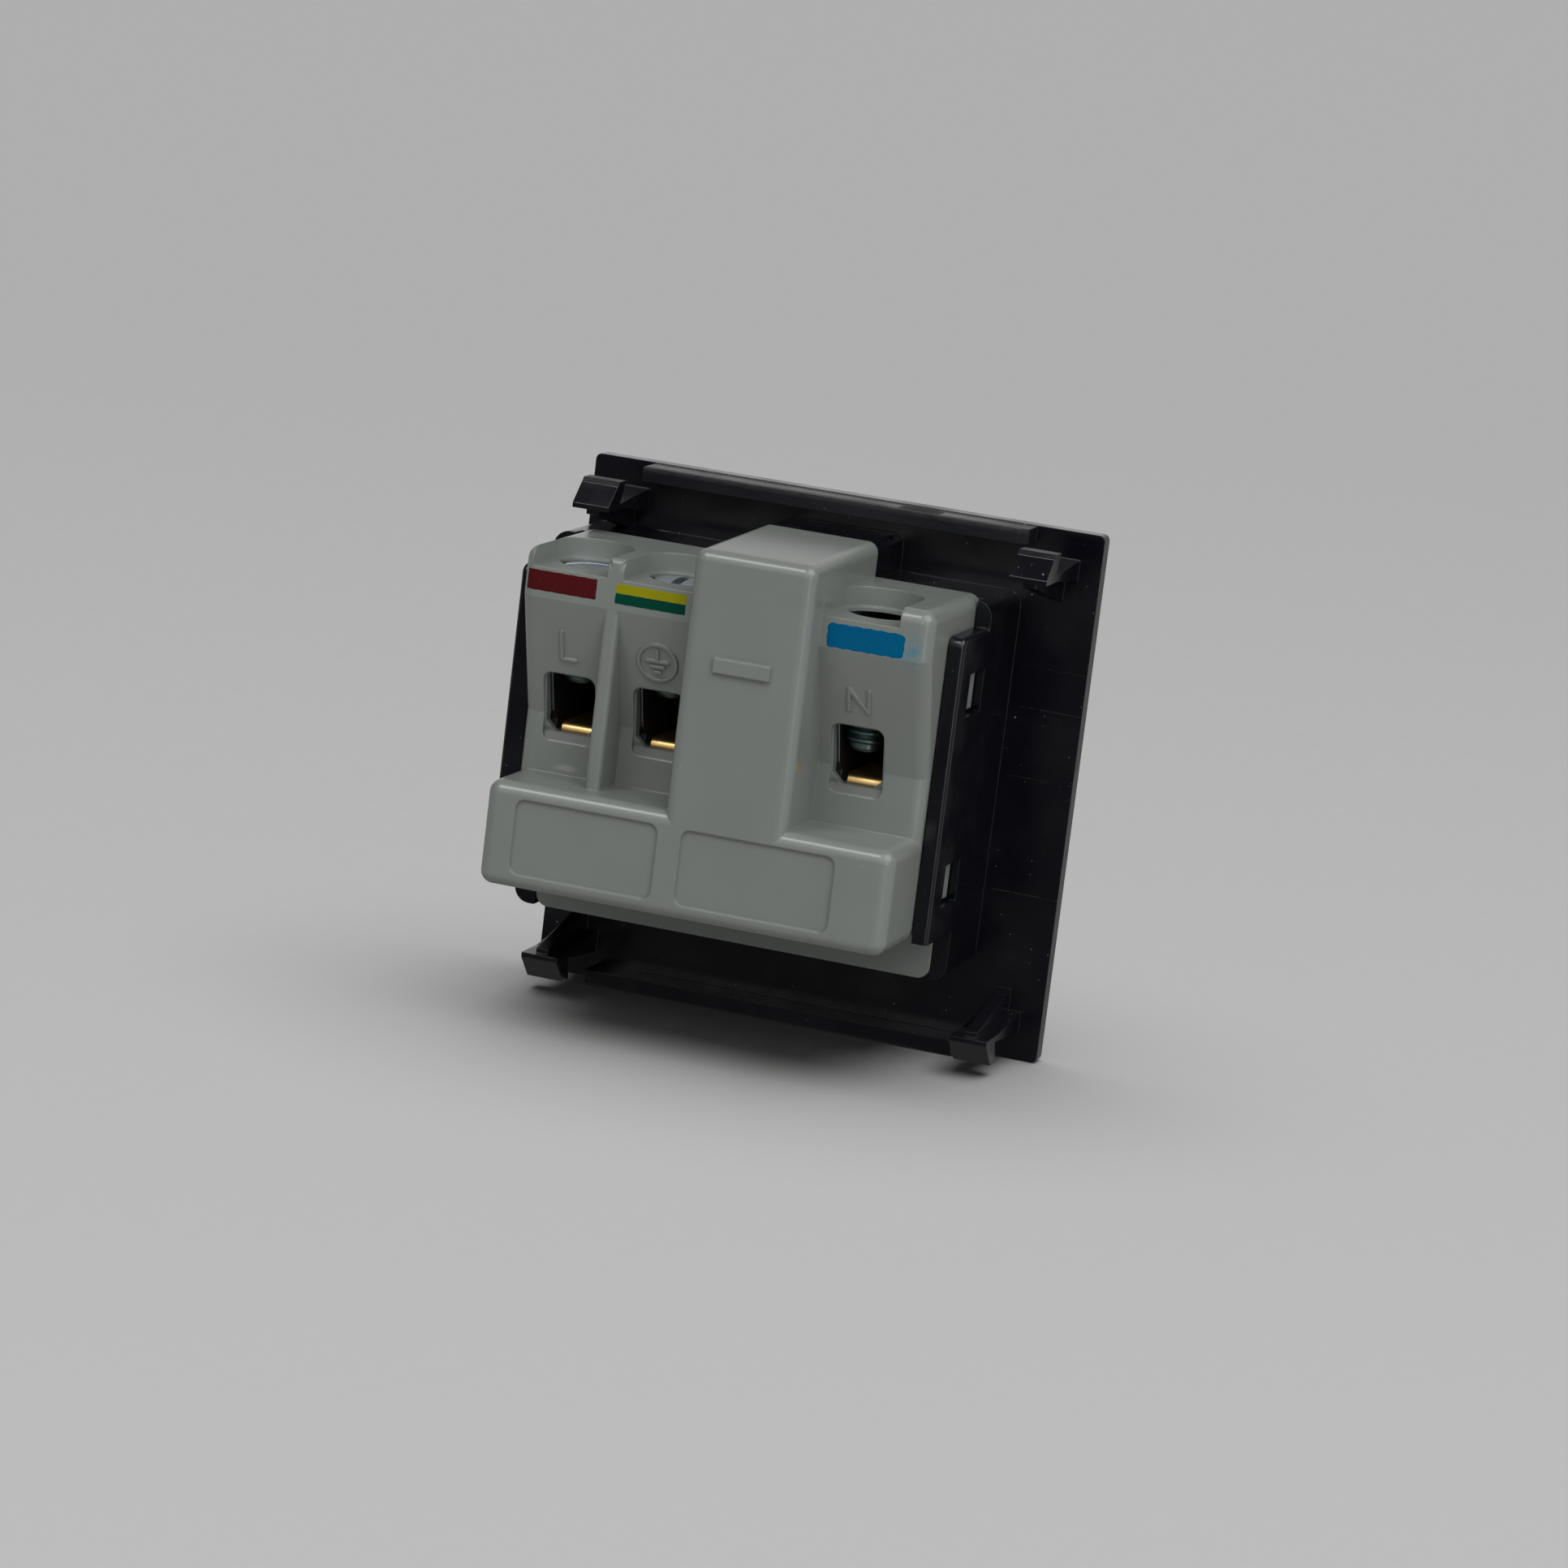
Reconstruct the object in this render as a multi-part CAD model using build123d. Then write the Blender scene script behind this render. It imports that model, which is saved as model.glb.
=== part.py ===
"""UK 13 A socket module, 50 mm square, built piece by piece in millimetres.

Seen from the front, +X is right and +Z is up; +Y runs to the rear.
The origin is the centre of the front face.
"""
import math
import os

from build123d import *

# Front plate
plate_side = 50.0
plate_t = 2.0
plate_corner_r = 0.6
plate_edge_r = 0.4

# Plug pins and their slots
pin_pitch = 22.2
line_z = -7.1
line_pin_w = 6.35
line_pin_h = 4.0
line_pin_len = 17.7
earth_pin_w = 4.0
earth_pin_h = 8.0
earth_pin_len = 22.7
slot_gap = 0.3
slot_corner_r = 0.4
slot_lead = 0.35
line_x = pin_pitch / 2
earth_z = line_z + pin_pitch
line_slot_w = line_pin_w + 2 * slot_gap
line_slot_h = line_pin_h + 2 * slot_gap
earth_slot_w = earth_pin_w + 2 * slot_gap
earth_slot_h = earth_pin_h + 2 * slot_gap

# Brass strips
strip_t = 0.95
jaw_play = 0.1
jaw_w = 6.2
jaw_flare = 0.75
jaw_mouth = 1.8
jaw_room = 0.6
jaw_side_room = 1.1
earth_jaw_w = 7.0
pin_end_gap = 0.25
seat_gap = 0.3
tongue_w = 3.2
tongue_shift = 0.4
tongue_gap = 0.1
line_jaw_gap = line_pin_h + 2 * jaw_play
earth_jaw_gap = earth_pin_w + 2 * jaw_play
line_reach = line_jaw_gap / 2 + strip_t
tail_y1 = line_pin_len + pin_end_gap + strip_t
tail_y0 = tail_y1 - strip_t
earth_jaw_y1 = earth_pin_len + pin_end_gap + strip_t

# Rear housing
wall = 1.3
low_skin = 1.2
house_y0 = 9.8
house_top_z = 19.0
rear_y = 28.0
foot_drop = 4.85
foot_t = 1.7
foot_corner_r = 1.2
hump_w = 11.5
hump_mid_x = -0.2
hump_top_z = 21.75
hump_draft = 0.4
hump_edge_r = 1.05
face_rise_y = 4.25
face_low_h = 5.45
face_high_h = 4.6
rib_t = 1.45
rib_edge_r = 0.5
edge_r = 1.2
panel_depth = 0.25
panel_margin = 1.35
panel_corner_r = 0.9
panel_reach = 5.0
panel_stop = 1.9
panel_gap = 0.35
panel_inset = 3.0
hump_x0 = hump_mid_x - hump_w / 2
hump_x1 = hump_mid_x + hump_w / 2
low_z0 = line_z - line_reach - jaw_room - low_skin
low_z1 = line_z + line_reach + jaw_room + low_skin
foot_z = low_z0 - foot_drop
face_low_y = tail_y1 + seat_gap + wall
face_high_y = face_low_y + face_rise_y
face_bend_low_z = low_z1 + face_low_h
face_bend_high_z = house_top_z - face_high_h

# Terminal places
terminal_pitch = 8.75
neutral_room = 0.75
live_inset = 4.45
earth_inset = 3.85
neutral_inset = 3.65
earth_x = hump_x1 + earth_inset
live_x = earth_x + terminal_pitch
neutral_x = hump_x0 - neutral_inset
terminal_x = {"live": live_x, "earth": earth_x, "neutral": neutral_x}
rib_x = (live_x + earth_x) / 2
house_x0 = -line_x - jaw_w / 2 - neutral_room - wall
house_x1 = live_x + live_inset

# Terminal tunnels
cage_rise = 2.7
cage_len = 6.9
cage_gap = 0.12
cage_room = 4.2
wire_room = 5.05
roof_t = 2.5
roof_brow = 0.6
cage_half = cage_room / 2 + strip_t
cage_floor_z = low_z1 + cage_rise
tongue_z0 = cage_floor_z + strip_t
tongue_z1 = tongue_z0 + strip_t
cage_roof_z = tongue_z1 + wire_room
cage_top_z = cage_roof_z + roof_t
cage_y0 = tail_y1 - cage_len
chamber_half = cage_half + cage_gap

# Terminal screws and wells
screw_back = 0.3
screw_r = 1.75
screw_root_r = 1.42
screw_pitch = 0.7
screw_fit = 0.05
screw_head_r = 2.6
screw_head_h = 2.0
screw_head_dome = 0.25
screw_neck = 0.5
screw_end_bevel = 0.3
screw_shank = 8.9
screw_slot_w = 0.9
screw_slot_d = 0.9
screw_sink = {"live": 0.0, "earth": -0.1, "neutral": 1.6}
screw_turn = {"live": 35.0, "earth": 92.0, "neutral": 60.0}
driver_gap = 0.5
well_r = 3.6
well_depth = 1.8
well_lead = 0.4
shelf_t = 0.4
screw_y = tail_y1 - screw_back
bore_r = screw_head_r + driver_gap
shelf_z = house_top_z - well_depth

# Wire entries
entry_w = 4.75
entry_h = 5.6
entry_rise = 3.9
entry_shift = 0.1
entry_rim = 0.15
entry_sill = 0.85
entry_brow = 0.2
entry_rim_depth = 0.55
entry_cut = 0.9
entry_z = cage_floor_z + entry_rise

# Box on the back of the plate
fit_gap = 0.15
box_wall_live = 2.05
box_wall_neutral = 1.45
box_wall_end = 1.4
box_step = 0.3
box_corner_r = 1.5
ear_rise = 7.8
ear_drop = 2.7
ear_edge_r = 0.45
ear_top_r = 0.9
window_len = 4.5
window_h = 4.0
window_sill = 0.1
window_high_z = 10.7
window_low_z = -7.0
barb_reach = 0.85
barb_h = 3.4
barb_lead = 0.25
barb_play = 0.15
cavity_x0 = house_x0 - fit_gap
cavity_x1 = house_x1 + fit_gap
box_x0 = cavity_x0 - box_wall_neutral
box_x1 = cavity_x1 + box_wall_live
box_z1 = house_top_z - box_step
box_z0 = foot_z
cavity_z1 = box_z1 - box_wall_end
cavity_z0 = box_z0 + box_wall_end
side_rim_y = house_y0 + foot_t
ear_rim_y = side_rim_y + ear_rise
ear_z0 = low_z0
ear_z1 = house_top_z - ear_drop
window_y0 = side_rim_y + window_sill
window_y1 = window_y0 + window_len
barb_y0 = window_y0 + barb_play
barb_y1 = window_y1 - barb_play

# Snap clips and edge lips
clip_w = 3.56
clip_inset = 2.1
clip_tip_y = 12.9
clip_crest_y = 10.6
clip_catch_y = 9.0
clip_crest_drop = 1.15
clip_arm_drop = 3.25
clip_arm_t = 0.55
clip_root_drop = 2.5
clip_root_t = 2.2
clip_catch_run = 0.9
clip_tip_drop = 0.1
gusset_stop = 0.7
gusset_lap = 0.5
gusset_t = 1.2
gusset_drop = 6.8
lip_len = 37.5
lip_mid_x = 0.25
lip_y = 5.5
lip_t = 1.4
lip_inset = 0.1
lip_chamfer = 0.9
plate_half = plate_side / 2
clip_x1 = plate_half - clip_inset
clip_x0 = clip_x1 - clip_w
clip_mid_x = (clip_x0 + clip_x1) / 2

# Shutter
shutter_gap = 0.15
shutter_t = 1.8
blade_lap = 0.4
stem_w = 6.4
wedge_side_gap = 0.15
wedge_gap = 0.1
wedge_land = 0.4
wedge_t = 3.0
seat_t = 1.5
seat_w = 4.8
notch_w = 4.2
rail_gap = 0.15
rail_t = 1.2
rail_len = 10.2
rail_lap = 0.7
rail_lip_t = 0.85
rail_rise = 1.0
shutter_y0 = plate_t + shutter_gap
shutter_y1 = shutter_y0 + shutter_t
shutter_half = line_x + line_slot_w / 2 + blade_lap
blade_z0 = line_z - line_slot_h / 2 - blade_lap
blade_z1 = line_z + line_slot_h / 2 + blade_lap
travel = line_slot_h + blade_lap
wedge_half = earth_pin_w / 2 - wedge_side_gap
wedge_foot_z = earth_z - earth_pin_h / 2 - wedge_gap
wedge_tip_z = wedge_foot_z + travel
wedge_y = shutter_y0 + travel + wedge_land
seat_z = blade_z1 - seat_t

# Shutter spring
spring_r = 1.25
spring_wire_r = 0.2
spring_turns = 7.5
spring_gap = 0.7
boss_gap = 0.3
boss_h = 1.5
nib_h = 1.2
spring_y = shutter_y0 + spring_gap + spring_r + spring_wire_r
boss_r = spring_r - spring_wire_r - boss_gap

# Jaw mouths clear of the shutter
line_mouth_gap = 2.65
earth_mouth_gap = 1.9
line_jaw_y0 = shutter_y1 + line_mouth_gap
earth_jaw_y0 = wedge_y + earth_mouth_gap

# Raised marks
mark_h = 0.2
mark_w = 0.34
mark_z = 10.1
bar_w = 5.35
bar_h = 1.3
bar_z = 11.65
bar_rise = 0.35


def block(x0, x1, y0, y1, z0, z1):
    """Box between two opposite corners."""
    return Pos((x0 + x1) / 2, (y0 + y1) / 2, (z0 + z1) / 2) * Box(x1 - x0, y1 - y0, z1 - z0)


def prism_x(points, x0, x1):
    """Solid with a (y, z) outline between two x planes."""
    return extrude(Plane.YZ.offset(x0) * make_face(Polyline(*points, close=True)), amount=x1 - x0)


def prism_y(sketch, y0, y1):
    """Solid with an (x, z) outline between two y planes."""
    return extrude(Plane.XZ.offset(-y0) * sketch, amount=y0 - y1)


def prism_z(points, z0, z1):
    """Solid with an (x, y) outline between two z planes."""
    return extrude(Plane.XY.offset(z0) * make_face(Polyline(*points, close=True)), amount=z1 - z0)


def rounded(x0, x1, z0, z1, r):
    """Rounded rectangle in the (x, z) plane."""
    return Pos((x0 + x1) / 2, (z0 + z1) / 2) * RectangleRounded(x1 - x0, z1 - z0, r)


def rod_z(x, y, z0, z1, r):
    """Round rod along z."""
    return Pos(x, y, (z0 + z1) / 2) * Cylinder(r, z1 - z0)


def tongue_span(x):
    """Left and right edges of the strip inside the terminal at x."""
    mid = x - tongue_shift
    return mid - tongue_w / 2, mid + tongue_w / 2


def face_y(z):
    """Depth of the outside of a terminal face at a height."""
    span = face_bend_high_z - face_bend_low_z
    return face_low_y + face_rise_y / span * min(max(z - face_bend_low_z, 0.0), span)


# Front moulding
def front_plate():
    """Square face with the three pin slots."""
    plate = prism_y(RectangleRounded(plate_side, plate_side, plate_corner_r), 0, plate_t)
    plate = fillet(plate.faces().sort_by(Axis.Y)[0].edges(), plate_edge_r)
    slots = [(line_x, line_z, line_slot_w, line_slot_h), (-line_x, line_z, line_slot_w, line_slot_h),
             (0, earth_z, earth_slot_w, earth_slot_h)]
    for x, z, w, h in slots:
        plate -= prism_y(Pos(x, z) * RectangleRounded(w, h, slot_corner_r), -1, plate_t + 1)
        lead = RectangleRounded(w + 2 * slot_lead, h + 2 * slot_lead, slot_corner_r + slot_lead)
        plate -= extrude(Plane.XZ * (Pos(x, z) * lead), amount=-slot_lead, taper=45)
    return plate


def plate_box():
    """Walls behind the plate, with an ear and two windows on each side."""
    outer = rounded(box_x0, box_x1, box_z0, box_z1, box_corner_r)
    inner = rounded(cavity_x0, cavity_x1, cavity_z0, cavity_z1, slot_corner_r)
    bump_z1 = hump_top_z + hump_draft
    bump = rounded(hump_x0, hump_x1, cavity_z1 - 2 * wall, bump_z1, hump_edge_r)
    hollow = rounded(hump_x0 + wall, hump_x1 - wall, cavity_z1 - wall, bump_z1 - wall, slot_corner_r)
    walls = prism_y(outer + bump - inner - hollow, plate_t / 2, house_y0)
    sides = outer - rounded(cavity_x0, cavity_x1, box_z0 - wall, box_z1 + wall, slot_corner_r)
    walls += prism_y(sides, house_y0 - foot_t, side_rim_y)
    for x0, x1, outer_edge in ((box_x0, cavity_x0, 0), (cavity_x1, box_x1, -1)):
        ear = block(x0, x1, house_y0, ear_rim_y, ear_z0, ear_z1)
        ear = fillet(ear.edges().filter_by(Axis.X).sort_by(Axis.Y)[-2:].sort_by(Axis.Z)[-1], ear_top_r)
        rear = ear.edges().filter_by(Axis.Z).sort_by(Axis.Y)[-2:]
        ear = fillet(rear.sort_by(Axis.X)[outer_edge], ear_edge_r)
        for z in (window_low_z, window_high_z):
            ear -= block(x0 - 1, x1 + 1, window_y0, window_y1, z - window_h / 2, z + window_h / 2)
        walls += ear
    return walls


def snap_clip():
    """Upper right clip with its stiffening gusset."""
    arm_z = plate_half - clip_arm_drop
    crest_z = plate_half - clip_crest_drop
    root_z = plate_half - clip_root_drop
    web_y = clip_tip_y - gusset_stop
    catch_y = clip_catch_y + clip_catch_run
    side = [(plate_t / 2, root_z - clip_root_t), (plate_t / 2, root_z), (catch_y, arm_z),
            (clip_catch_y, crest_z), (clip_crest_y, crest_z), (clip_tip_y, arm_z - clip_tip_drop),
            (clip_tip_y, arm_z - clip_arm_t), (clip_catch_y, arm_z - clip_arm_t)]
    web = [(plate_t / 2, plate_half - gusset_drop), (plate_t / 2, root_z), (clip_catch_y, arm_z),
           (web_y, arm_z - clip_arm_t / 2), (web_y, arm_z - clip_arm_t - gusset_lap)]
    clip = prism_x(side, clip_x0, clip_x1)
    return clip + prism_x(web, clip_mid_x - gusset_t / 2, clip_mid_x + gusset_t / 2)


def shutter_rail():
    """Right-hand rail that holds the shutter's stem against the plate."""
    x0 = stem_w / 2 + rail_gap
    z0 = blade_z1 + rail_rise
    lip_y0 = shutter_y1 + shutter_gap
    rail = block(x0, x0 + rail_t, plate_t / 2, lip_y0 + rail_lip_t, z0, z0 + rail_len)
    return rail + block(stem_w / 2 - rail_lap, x0 + rail_t, lip_y0, lip_y0 + rail_lip_t, z0, z0 + rail_len)


def front_moulding():
    """Plate, box, clips, lips, rails and spring boss as one moulding."""
    body = front_plate() + plate_box()
    clips = snap_clip()
    clips += mirror(clips, about=Plane.YZ)
    body += clips + mirror(clips, about=Plane.XY)
    x0 = lip_mid_x - lip_len / 2
    x1 = lip_mid_x + lip_len / 2
    plan = [(x1, plate_t / 2), (x1, lip_y), (x0 + lip_chamfer, lip_y), (x0, lip_y - lip_chamfer),
            (x0, plate_t / 2)]
    lip = prism_z(plan, plate_half - lip_inset - lip_t, plate_half - lip_inset)
    body += lip + mirror(lip, about=Plane.XY)
    rail = shutter_rail()
    body += rail + mirror(rail, about=Plane.YZ)
    return body + rod_z(0, spring_y, cavity_z0 - box_wall_end / 2, cavity_z0 + boss_h, boss_r)


# Rear housing
def housing_outside():
    """Outer form: terminal blocks, lower box, hump, rib and foot."""
    side = [(house_y0, line_z), (face_low_y, line_z), (face_low_y, face_bend_low_z),
            (face_high_y, face_bend_high_z), (face_high_y, house_top_z), (house_y0, house_top_z)]
    main = prism_x(side, house_x0, house_x1)
    soft = main.edges().filter_by(lambda e: e.center().Y > house_y0 + 0.1 and e.center().Z > line_z + 0.1)
    crossing = soft.filter_by(Axis.X).filter_by(lambda e: e.center().Z < house_top_z - 0.1)
    main = fillet([e for e in soft if e not in crossing], edge_r)
    for x in terminal_x.values():
        main -= Pos(x, screw_y, house_top_z) * Cone(well_r - well_lead, well_r + well_lead, 2 * well_lead)
    low = block(house_x0, house_x1, house_y0, rear_y, low_z0, low_z1)
    low = fillet(low.faces().sort_by(Axis.Y)[-1].edges() + low.edges().filter_by(Axis.Y), edge_r)
    hump_z0 = line_z
    profile = [(house_y0, hump_z0), (rear_y, hump_z0), (rear_y, hump_top_z),
               (house_y0, hump_top_z + hump_draft)]
    hump = prism_x(profile, hump_x0, hump_x1)
    soft = hump.edges().filter_by(lambda e: e.center().Z > hump_z0 + 0.1 and e.center().Y > house_y0 + 0.1)
    hump = fillet(soft, hump_edge_r)
    rib = block(rib_x - rib_t / 2, rib_x + rib_t / 2, house_y0, face_high_y, line_z, house_top_z)
    soft = rib.faces().sort_by(Axis.Y)[-1].edges().filter_by(lambda e: e.center().Z > line_z + 0.1)
    rib = fillet(soft, rib_edge_r)
    foot = prism_y(rounded(house_x0, house_x1, foot_z, line_z, foot_corner_r), house_y0, house_y0 + foot_t)
    return main + low + hump + rib + foot


def entry_outline():
    """Wire entry outline with cut lower corners and small upper ones."""
    w = entry_w / 2
    h = entry_h / 2
    c = entry_cut
    s = entry_cut / 3
    return make_face(Polyline((-w, c - h), (c - w, -h), (w - c, -h), (w, c - h), (w, h - s), (w - s, h),
                              (s - w, h), (-w, h - s), close=True))


def terminal_cuts(x):
    """Screw well, driver bore and wire entry of one terminal."""
    cut = rod_z(x, screw_y, shelf_z, house_top_z + wall, well_r)
    cut += block(x - well_r, x + well_r, screw_y, face_high_y + wall, shelf_z, house_top_z + wall)
    cut += rod_z(x, screw_y, cage_top_z, shelf_z + wall, bore_r)
    mid = x - entry_shift
    cut += prism_y(Pos(mid, entry_z) * entry_outline(), screw_y, rear_y + wall)
    z0 = entry_z - entry_h / 2
    z1 = entry_z + entry_h / 2
    out = face_high_y + wall
    low = z0 - entry_sill
    top = z1 + entry_brow
    side = [(face_y(z0) - entry_rim_depth, z0), (face_y(low), low), (out, low),
            (out, top), (face_y(top), top), (face_y(z1) - entry_rim_depth, z1)]
    rim = prism_x(side, mid - entry_w / 2 - entry_rim, mid + entry_w / 2 + entry_rim)
    return cut + fillet(rim.edges().filter_by(Axis.Y), entry_cut)


def chamber(x):
    """Space for one terminal tunnel and its screw, with the coring above."""
    z0 = cage_floor_z - cage_gap
    z1 = cage_top_z + cage_gap
    side = [(house_y0 - wall, z0), (face_low_y - wall, z0), (face_low_y - wall, face_bend_low_z),
            (face_y(z1) - wall, z1), (house_y0 - wall, z1)]
    x0 = x - chamber_half
    x1 = x + chamber_half
    core_y1 = screw_y - bore_r - wall
    core = block(x0, x1, house_y0 - wall, core_y1, z1 - wall, house_top_z - wall)
    core += block(x0, x1, core_y1 - wall, screw_y, z1 - wall, shelf_z - shelf_t)
    return prism_x(side, x0, x1) + core


def housing_inside():
    """Hollows for the jaws, the strips and the terminals."""
    y0 = house_y0 - wall
    y1 = rear_y - wall
    z0 = low_z0 + low_skin
    z1 = low_z1 - low_skin
    jaw_x = line_x - jaw_w / 2 - jaw_side_room
    hollow = block(jaw_x, house_x1 - wall, y0, y1, z0, z1)
    hollow += block(house_x0 + wall, -jaw_x, y0, y1, z0, z1)
    hollow += block(wall - jaw_x, jaw_x - wall, y0, y1, z0, z1)
    hollow += block(hump_x0 + wall, hump_x1 - wall, y0, y1, low_z1, hump_top_z - wall)
    for x in terminal_x.values():
        hollow += chamber(x)
    for x in (live_x, neutral_x):
        a, b = tongue_span(x)
        hollow += block(a - seat_gap, b + seat_gap, y0, face_low_y - wall, z1 - wall, cage_floor_z + wall)
    hollow += block(hump_x1 - 2 * wall, earth_x, y0, cage_y0, tongue_z0 - seat_gap, tongue_z1 + wall)
    return hollow


def mark_plane(x, z):
    """Plane on the slope of a terminal face, its own y axis running up the slope."""
    normal = Vector(0, face_bend_high_z - face_bend_low_z, -face_rise_y).normalized()
    return Plane(origin=(x, face_y(z), z), x_dir=(-1, 0, 0), z_dir=normal)


def bar(x0, y0, x1, y1):
    """Round-ended bar between two points of a sketch."""
    length = math.hypot(x1 - x0, y1 - y0)
    turn = math.degrees(math.atan2(y1 - y0, x1 - x0))
    return Pos((x0 + x1) / 2, (y0 + y1) / 2) * (Rot(0, 0, turn) * SlotOverall(length + mark_w, mark_w))


def terminal_marks():
    """Raised L, N and earth marks on the sloped faces."""
    live = bar(-0.5, -1.35, -0.5, 1.45) + bar(-0.5, -1.35, 0.85, -1.35)
    neutral = bar(-0.7, -1.4, -0.7, 0.8) + bar(1.2, -1.4, 1.2, 0.8) + bar(-0.7, 0.8, 1.2, -1.4)
    earth = Circle(1.98) - Circle(1.98 - mark_w) + bar(0, 0.1, 0, 1.2) + bar(-1.05, 0.1, 1.05, 0.1)
    earth += bar(-0.6, -0.45, 0.6, -0.45) + bar(-0.25, -1.0, 0.25, -1.0)
    marks = extrude(mark_plane(live_x, mark_z) * live, amount=mark_h, both=True)
    marks += extrude(mark_plane(neutral_x, mark_z) * neutral, amount=mark_h, both=True)
    return marks + extrude(mark_plane(earth_x, mark_z) * earth, amount=mark_h, both=True)


def snap_barb(edge, side, z):
    """Barb on the side of the housing that catches in a window of the box."""
    reach = edge + side * barb_reach
    root = edge - side * wall / 2
    plan = [(root, barb_y0), (edge, barb_y0), (reach, barb_y0 + barb_lead), (reach, barb_y1),
            (root, barb_y1)]
    return prism_z(plan, z - barb_h / 2, z + barb_h / 2)


def rear_housing():
    """Grey housing with its hollows, wells, entries, panels, barbs and marks."""
    body = housing_outside() - housing_inside()
    for x in terminal_x.values():
        body -= terminal_cuts(x)
    panel_z0 = low_z0 + panel_margin
    panel_z1 = low_z1 - panel_margin
    rear_cut = (rear_y - panel_depth, rear_y + wall)
    left = (hump_x0 - panel_reach, hump_x1 - panel_stop)
    right = (hump_x1 + panel_gap, house_x1 - panel_inset)
    for x0, x1 in (left, right):
        body -= prism_y(rounded(x0, x1, panel_z0, panel_z1, panel_corner_r), *rear_cut)
    for z in (window_low_z, window_high_z):
        body += snap_barb(house_x0, -1, z) + snap_barb(house_x1, 1, z)
    half = bar_w / 2
    z0 = bar_z - bar_h / 2
    body += block(hump_mid_x - half, hump_mid_x + half, rear_y - wall / 2, rear_y + bar_rise, z0, z0 + bar_h)
    return body + terminal_marks()


# Brass contacts
def line_contact(side, x):
    """Live or neutral contact: jaw for a flat pin and a strip up into its terminal."""
    mid = side * line_x
    a, b = tongue_span(x)
    gap = line_jaw_gap / 2
    bend_y = line_jaw_y0 + jaw_mouth
    leaf = [(tail_y1, line_reach), (bend_y, line_reach), (line_jaw_y0, line_reach + jaw_flare),
            (line_jaw_y0, gap + jaw_flare), (bend_y, gap), (tail_y1, gap)]
    body = prism_x([(y, line_z + z) for y, z in leaf], mid - jaw_w / 2, mid + jaw_w / 2)
    body += prism_x([(y, line_z - z) for y, z in leaf], mid - jaw_w / 2, mid + jaw_w / 2)
    z0 = line_z - line_reach
    z1 = line_z + line_reach
    body += block(mid - jaw_w / 2, mid + jaw_w / 2, tail_y0, tail_y1, z0, z1)
    body += block(min(a, mid), max(b, mid), tail_y0, tail_y1, z0 + strip_t, z1)
    body += block(a, b, tail_y0, tail_y1, z0 + strip_t, tongue_z1)
    body += block(a, b, cage_y0, tail_y1, tongue_z0, tongue_z1)
    bend = body.edges().filter_by(Axis.X).filter_by(
        lambda e: abs(e.center().Y - tail_y1) < 0.01 and abs(e.center().Z - tongue_z1) < 0.01)
    return fillet(bend, strip_t * 0.75)


def earth_contact():
    """Earth contact: jaw for the upright pin and a strip across into its terminal."""
    gap = earth_jaw_gap / 2
    a, b = tongue_span(earth_x)
    out = gap + strip_t
    z0 = earth_z - earth_jaw_w / 2
    z1 = earth_z + earth_jaw_w / 2
    strip_y0 = house_y0 + tongue_gap
    strip_y1 = cage_y0 - tongue_gap
    leaf = block(gap, out, earth_jaw_y0, earth_jaw_y1, z0, z1)
    body = leaf + mirror(leaf, about=Plane.YZ)
    body += block(-out, out, earth_jaw_y1 - strip_t, earth_jaw_y1, z0, z1)
    body += block(gap, out, strip_y0, cage_y0, tongue_z0, z0 + strip_t)
    body += block(gap, b, strip_y0, strip_y1, tongue_z0, tongue_z1)
    body += block(a, b, strip_y0, tail_y1, tongue_z0, tongue_z1)
    bend = body.edges().filter_by(Axis.X).filter_by(
        lambda e: abs(e.center().Y - tail_y1) < 0.01 and abs(e.center().Z - tongue_z1) < 0.01)
    return fillet(bend, strip_t * 0.75)


def terminal_tunnel(x):
    """Plated steel tunnel with a tapped roof for the clamping screw."""
    span = face_bend_high_z - face_bend_low_z
    back = tail_y0 - tongue_gap
    brow_z = cage_top_z - roof_brow
    brow_y = tail_y1 + face_rise_y / span * (brow_z - face_bend_low_z)
    side = [(cage_y0, cage_floor_z), (back, cage_floor_z), (back, tongue_z1), (tail_y1, face_bend_low_z),
            (brow_y, brow_z), (brow_y, cage_top_z), (cage_y0, cage_top_z)]
    cage = prism_x(side, x - cage_half, x + cage_half)
    half = cage_room / 2
    cage -= block(x - half, x + half, cage_y0 - wall, face_high_y, tongue_z0, cage_roof_z)
    return cage - rod_z(x, screw_y, cage_roof_z - wall, cage_top_z + wall, screw_r + screw_fit)


# Terminal screws
def terminal_screw(name):
    """Slotted screw with a domed head and rings for its thread."""
    points = [(0, 0), (screw_head_r, 0), (screw_head_r, -screw_head_h), (screw_root_r, -screw_head_h)]
    end = -screw_head_h - screw_shank
    turns = int((screw_shank - 2 * screw_neck) / screw_pitch)
    for i in range(turns):
        z = -screw_head_h - screw_neck - i * screw_pitch
        points += [(screw_root_r, z), (screw_r, z - 0.4 * screw_pitch), (screw_r, z - 0.6 * screw_pitch)]
    last_z = -screw_head_h - screw_neck - turns * screw_pitch
    points += [(screw_root_r, last_z), (screw_root_r, end + screw_end_bevel)]
    points += [(screw_root_r - screw_end_bevel, end), (0, end)]
    body = revolve(Plane.XZ * make_face(Polyline(*points, close=True)), Axis.Z)
    dome_r = (screw_head_r ** 2 + screw_head_dome ** 2) / (2 * screw_head_dome)
    body &= Pos(0, 0, -dome_r) * Sphere(dome_r)
    slot = block(-2 * screw_head_r, 2 * screw_head_r, -screw_slot_w / 2, screw_slot_w / 2, -screw_slot_d, 1)
    body -= Rot(0, 0, screw_turn[name]) * slot
    return Pos(terminal_x[name], screw_y, shelf_z - screw_sink[name]) * body


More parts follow.
